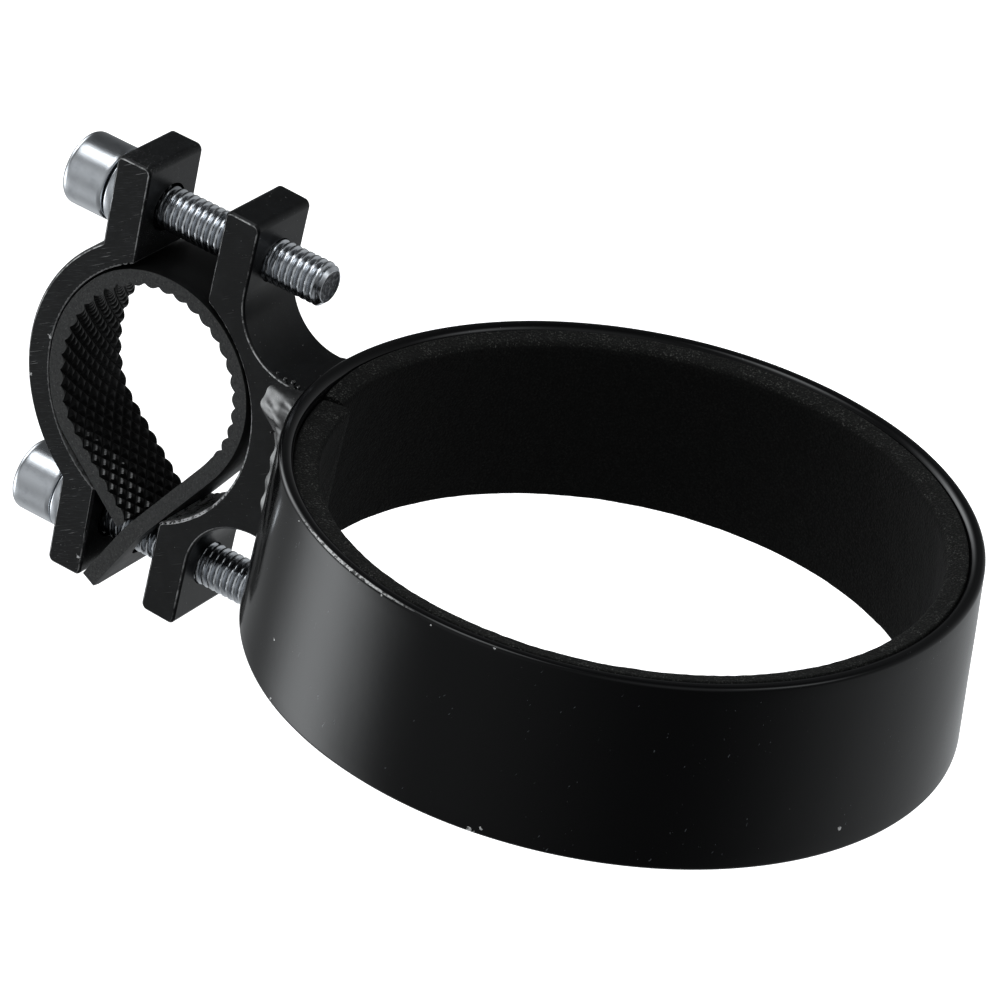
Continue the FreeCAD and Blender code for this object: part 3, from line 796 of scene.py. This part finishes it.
def lathe_points(joint, rings):
    """Points of rings round a joint's axis; each is (distance, radius or its rule)."""
    middle, axis, side, up = axis_frame(joint)
    points = []
    for distance, radius in rings:
        for step in range(TURN_STEPS):
            angle = 2 * math.pi * step / TURN_STEPS
            reach = radius(angle) if callable(radius) else radius
            across = side * math.cos(angle) + up * math.sin(angle)
            points.append(middle + axis * (distance * MM) + across * (reach * MM))
    return points


def hexagon(angle):
    """Radius of the key socket's wall at an angle."""
    turned = (angle + math.pi / 6) % (math.pi / 3) - math.pi / 6
    return KEY_MM / 2 / math.cos(turned)


def thread(distance):
    """Rule for the thread's radius at a distance from the head."""
    tip = BOLT_LENGTH_MM - distance
    runout = min(1.0, max(0.0, (distance - 0.2) / 1.2))

    def radius(angle):
        phase = (distance / PITCH_MM - angle / (2 * math.pi)) % 1.0
        shape = 0.5 + 0.5 * math.cos(2 * math.pi * phase)
        crest = min(1.0, shape * 1.25) ** 0.85
        depth = (CREST_MM - ROOT_MM) * (1 - crest) * runout
        return min(CREST_MM - depth, 2.2 + tip * 1.05)

    return radius


def head_rings():
    """Rings from the key socket's floor, over the head's rounded rim, to the shank."""
    top = -HEAD_HEIGHT_MM
    floor = top + KEY_DEPTH_MM
    rings = [(floor + 0.5, 0.02), (floor, 2.0), (floor - 0.15, hexagon), (top + 0.35, hexagon)]
    rings += [(top + 0.05, 3.05), (top, 3.2), (top, 3.9)]
    for step in range(1, 9):
        angle = math.pi / 2 * step / 8
        down = HEAD_ROUNDING_MM * (1 - math.cos(angle))
        inward = HEAD_ROUNDING_MM * (1 - math.sin(angle))
        rings.append((top + down, HEAD_RADIUS_MM - inward))
    side = HEAD_HEIGHT_MM - HEAD_ROUNDING_MM - 0.25
    for step in range(1, 11):
        rings.append((top + HEAD_ROUNDING_MM + side * step / 10, HEAD_RADIUS_MM))
    return rings + [(-0.08, 4.93), (0.0, 4.75), (0.0, 4.0), (0.0, 3.1)]


def socket_screw(name, node, zinc):
    """A socket-head cap screw with a cut thread."""
    joint = JOINTS[f"{node}_turn"]
    rings = head_rings()
    count = int(BOLT_LENGTH_MM / PITCH_MM * PITCH_STEPS)
    for step in range(1, count + 1):
        distance = BOLT_LENGTH_MM * step / count
        rings.append((distance, thread(distance)))
    end_start = len(rings) * TURN_STEPS
    rings += [(BOLT_LENGTH_MM - depth, radius) for depth, radius in CUT_END_MM]
    points = lathe_points(joint, rings)
    faces = loop_faces(len(rings), TURN_STEPS, closed=False)
    item = new_piece(name, points, faces, zinc, node, node, 32)
    middle, axis, _, _ = axis_frame(joint)
    item.data.materials.append(cut_end_finish(middle + axis * (BOLT_LENGTH_MM * MM)))
    for face in item.data.polygons:
        if min(face.vertices) >= end_start:
            face.material_index = 1
    root_shade_values, painted_thread_shade = [], []
    shade_full_mm, shade_end_mm = THREAD_SHADE_MM[node]
    for distance, radius in rings:
        threaded = 1.0 < distance < BOLT_LENGTH_MM - 0.4 and callable(radius)
        for step in range(TURN_STEPS):
            depth = CREST_MM - radius(2 * math.pi * step / TURN_STEPS) if threaded else 0.0
            # Painted shade in the thread's roots, deeper where the root is deeper.
            root_shade_values.append(max(0.0, depth / (CREST_MM - ROOT_MM) - 0.35) * 1.1)
        # Painted shade along the thread: full up to the first distance, gone at the second.
        share = (shade_end_mm - distance) / (shade_end_mm - shade_full_mm)
        dark = min(1.0, max(0.0, share)) * 0.93 if distance > 1.0 else 0.0
        painted_thread_shade += [dark] * TURN_STEPS
    set_attribute(item, "painted_root_shade", root_shade_values)
    set_attribute(item, "painted_thread_shade", painted_thread_shade)


def washer_disc(name, node, zinc):
    """A stamped flat washer, rounded on its outer edge."""
    bolt = node.replace("washer", "bolt")
    joint = JOINTS[f"{bolt}_turn"]
    near = WASHER_GAP_MM[bolt] + 0.01
    far = near + WASHER_THICKNESS_MM - 0.02
    corners = [
        (near, WASHER_HOLE_MM),
        (near, WASHER_RADIUS_MM),
        (far, WASHER_RADIUS_MM),
        (far, WASHER_HOLE_MM),
    ]
    section = rounded_section(corners, (0.12, 0.3, 0.2, 0.12), 4, (3, 2, 3, 2))
    rings = [(distance, radius) for distance, radius, _, _ in section]
    points = lathe_points(joint, rings)
    faces = loop_faces(len(rings), TURN_STEPS, closed=True)
    new_piece(name, points, faces, zinc, "cap", node, 40)


# ---------------------------------------------------------------- weld beads

WELD_LOOPS = 160
WELD_SIDES = 40
# The bead's pool: how far its middle lies below the bead's top, and its reach.
POOL_BELOW_MM = 3.5
POOL_REACH_MM = 3.6

# Drops of spatter: distance from the ring's wall, height over the bead's top, size.
SPATTER = (
    (-3.1, 0.2, 0.36),
    (-2.2, 0.0, 0.26),
    (-4.3, 0.1, 0.3),
    (-5.6, 0.4, 0.22),
    (-4.6, -8.0, 0.2),
)
DROP_LOOPS = 9
DROP_SIDES = 14


def spatter_drop(middle, size, seed):
    """Points of a lumpy drop, in loops from its top to its bottom."""
    points = []
    for row in range(DROP_LOOPS):
        rise = math.pi * (row + 0.5) / DROP_LOOPS
        for column in range(DROP_SIDES):
            angle = 2 * math.pi * column / DROP_SIDES
            way = Vector((
                math.cos(angle) * math.sin(rise),
                math.sin(angle) * math.sin(rise),
                math.cos(rise)))
            lump = 1 + 0.25 * wobble(way * MM, 0.9, seed)
            radii = (size, size * 0.8, size)
            points.append(middle + Vector([w * r * lump * MM for w, r in zip(way, radii)]))
    return points


def weld_run(name, node, side, material):
    """A bead down the corner between the block's side and the ring.

    It starts in a wide smooth pool near the top. The front has drops of spatter.
    """
    low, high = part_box("clamp_block")
    edge = (high.y if side > 0 else low.y) / MM
    bead_low, bead_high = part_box(node)
    top, bottom = bead_high.z / MM + 2.5, bead_low.z / MM - 0.4
    wall = RING_MIDDLE.x / MM - math.sqrt(ring_radius(0) ** 2 - edge ** 2)
    points = []
    for row in range(WELD_LOOPS):
        share = row / (WELD_LOOPS - 1)
        height = top + (bottom - top) * share
        pool = math.exp(-(abs(height - top + POOL_BELOW_MM) / POOL_REACH_MM) ** 4)
        ripple = 0.16 * math.sin(height * 1.9 + side)
        ends = max(0.02, math.sqrt(max(0.0, 1 - abs(2 * share - 1) ** 9)))
        wide = (4.0 + 3.2 * pool + ripple) * ends
        proud = (1.15 + 0.75 * pool + 0.3 * ripple) * ends
        ramp = 0.62 + 0.5 * pool
        centre = Vector((wall + 0.25, edge, height)) * MM
        for column in range(WELD_SIDES):
            angle = 2 * math.pi * column / WELD_SIDES
            way_x, way_y = math.cos(angle), side * math.sin(angle)
            if way_x < 0:
                across = -wide * abs(way_x) ** 0.8
                outward = math.copysign(proud * (1 - abs(way_x) ** (1 / ramp)), way_y)
            else:
                across, outward = way_x * 1.2 * ends, way_y * proud
            place = centre + Vector((across, 0, 0)) * MM
            lump = 1 + 0.35 * wobble(place, 2.6, 3.0 + side) + 0.3 * pool * wobble(place, 0.9, 8.0)
            points.append(place + Vector((0, outward * lump * MM, 0)))
    faces = loop_faces(WELD_LOOPS, WELD_SIDES, closed=False)
    drop_faces = loop_faces(DROP_LOOPS, DROP_SIDES, closed=False)
    for along, up, size in SPATTER if side < 0 else ():
        start = len(points)
        middle = Vector((wall + along, edge * 0.995, top + up)) * MM
        points += spatter_drop(middle, size, along)
        faces += [tuple(start + index for index in face) for face in drop_faces]
    new_piece(name, points, faces, material, "holder", node, 60)


# ------------------------------------------------------------- build the part

ring_band(ring_finish())
foam_pad(foam_finish())
adhesive = NODES["liner_adhesive"]
adhesive.data.materials.clear()
adhesive.data.materials.append(adhesive_finish())
# The bore's middle in metres, and its radius and its marks' depth in millimetres.
BLOCK_BORE = ((-0.0032, 0, -0.00245), 18.9, 0.11)
CAP_BORE = ((0.0032, 0, -0.0025), 19.1, 0.04)
# Specks of bare metal on the cap: place and size in millimetres.
CAP_SPECKS = (
    ((-16.2, -5.75, -1.8), 0.3),
    ((-17.9, -5.75, -8.5), 0.26),
    ((-5.3, -5.75, -30.4), 0.3),
    ((-5.8, -5.75, 29.7), 0.24),
)
block_finish = clamp_finish("block_coating", 0.15, BLOCK_BORE, marks_shine=0.9)
clamp_half("block_body", "clamp_block", "holder", block_finish)
cap_finish = clamp_finish("cap_coating", 1.0, CAP_BORE, marks_shine=0.3, specks=CAP_SPECKS)
clamp_half("cap_body", "clamp_cap", "cap", cap_finish)
zinc = zinc_finish()
for which in ("upper", "lower"):
    socket_screw(f"{which}_socket_screw", f"{which}_bolt", zinc)
    washer_disc(f"{which}_flat_washer", f"{which}_washer", zinc)
weld = weld_finish()
weld_run("weld_run_front", "weld_bead_front", -1, weld)
weld_run("weld_run_back", "weld_bead_back", 1, weld)
strip = grip_band(rubber_finish(), rubber_skin_finish())
cut_passage(strip, JOINTS["lower_bolt_turn"], STRIP_HOLE_MM)
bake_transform(strip)


# ------------------------------------------------------ floor, light, camera

FLOOR_REACH = 6.0
FLOOR_HEIGHT = -0.9


def pale_floor():
    """A wide pale floor, well below the part, which hangs from its clamp."""
    mesh = bpy.data.meshes.new("floor")
    corners = [(-1, -1), (1, -1), (1, 1), (-1, 1)]
    places = [(x * FLOOR_REACH, y * FLOOR_REACH, FLOOR_HEIGHT) for x, y in corners]
    mesh.from_pydata(places, [], [(0, 1, 2, 3)])
    item = bpy.data.objects.new("floor", mesh)
    bpy.context.scene.collection.objects.link(item)
    made = Finish("floor_paper", (0.9, 0.9, 0.9), 0.9)
    made.shader.inputs["Emission Color"].default_value = (1, 1, 1, 1)
    made.shader.inputs["Emission Strength"].default_value = 0.95
    made.bump(made.noise(3, detail=2), 0.05, 0.1)
    mesh.materials.append(made.material)
    item.visible_glossy = False
    item.visible_diffuse = False


# Soft lights all round: the way to each, its sharpness and its brightness.
SOFT_LIGHTS = (
    ((-0.805, -0.35, -0.44), 20.0, 3.55),  # low, beyond the bar
    ((-0.2, -0.9, -0.3), 4.0, 0.2),  # low in front
    ((-0.4, -0.8, 0.3), 8.0, 0.4),  # high in front
    ((-0.2, 0.4, -0.9), 4.0, 0.6),  # below
    ((0.8, 0.3, -0.5), 6.0, 0.2),  # low, beyond the ring
    ((0.45, 0.8, -0.1), 3.0, 0.4),  # behind
    ((-0.37, -0.16, 0.91), 60.0, 4.2),  # overhead, towards the bar
    ((-0.38, -0.4, 0.83), 60.0, 2.0),  # overhead, towards the front
    ((0.55, -0.4, 0.65), 8.0, 0.45),  # above the ring's front
    ((0.67, 0.12, 0.73), 40.0, 2.2),  # above the ring's far side
    ((-0.9, 0.2, 0.3), 25.0, 4.5),  # level, beyond the bar
)
DIM_ROOM = 0.05
SOFT_COLOUR = (0.95, 0.98, 1.0, 1.0)
WHITE = (1, 1, 1, 1)


def studio_light():
    """A white backdrop, and broad soft lights that fade off at their edges."""
    world = bpy.data.worlds.new("studio")
    bpy.context.scene.world = world
    world.use_nodes = True
    made = Nodes(world.node_tree)
    made.tree.nodes.clear()
    direction = made.node("ShaderNodeTexCoord").outputs["Generated"]
    total = DIM_ROOM
    for aim, sharpness, brightness in SOFT_LIGHTS:
        facing = made.vector_math("DOT_PRODUCT", direction, Vector(aim).normalized())["Value"]
        ahead = made.math("MAXIMUM", facing, 0.0, clamp=False)
        lobe = made.math("POWER", ahead, sharpness, clamp=False)
        total = made.math("MULTIPLY_ADD", lobe, brightness, total, clamp=False)
    soft = made.node("ShaderNodeBackground")
    soft.inputs["Color"].default_value = SOFT_COLOUR
    made.feed(soft.inputs["Strength"], total)
    white = made.node("ShaderNodeBackground")
    white.inputs["Color"].default_value = WHITE
    choose = made.node("ShaderNodeMixShader")
    made.feed(choose.inputs[0], made.node("ShaderNodeLightPath").outputs["Is Camera Ray"])
    made.feed(choose.inputs[1], soft.outputs[0])
    made.feed(choose.inputs[2], white.outputs[0])
    out = made.node("ShaderNodeOutputWorld")
    made.feed(out.inputs["Surface"], choose.outputs[0])
    bpy.context.scene.view_settings.view_transform = "Standard"


CAMERA_AZIMUTH = math.radians(26.028)
CAMERA_ELEVATION = math.radians(31.053)
CAMERA_ROLL = math.radians(14.287)
CAMERA_DISTANCE = 0.69842
CAMERA_LENS_MM = 203.24
CAMERA_TARGET = Vector((0.051553, -0.004423, 0.008168))


def photo_camera():
    """A long lens from the front right and above, rolled a little."""
    flat = math.cos(CAMERA_ELEVATION)
    back = Vector((
        math.sin(CAMERA_AZIMUTH) * flat,
        -math.cos(CAMERA_AZIMUTH) * flat,
        math.sin(CAMERA_ELEVATION)))
    level = Vector((math.cos(CAMERA_AZIMUTH), math.sin(CAMERA_AZIMUTH), 0))
    upright = back.cross(level)
    right = level * math.cos(CAMERA_ROLL) + upright * math.sin(CAMERA_ROLL)
    up = upright * math.cos(CAMERA_ROLL) - level * math.sin(CAMERA_ROLL)
    item = bpy.data.objects.new("camera", bpy.data.cameras.new("camera"))
    bpy.context.scene.collection.objects.link(item)
    item.data.lens = CAMERA_LENS_MM
    placed = Matrix((right, up, back)).transposed().to_4x4()
    placed.translation = CAMERA_TARGET + back * CAMERA_DISTANCE
    item.matrix_world = placed
    bpy.context.scene.camera = item


pale_floor()
studio_light()
photo_camera()
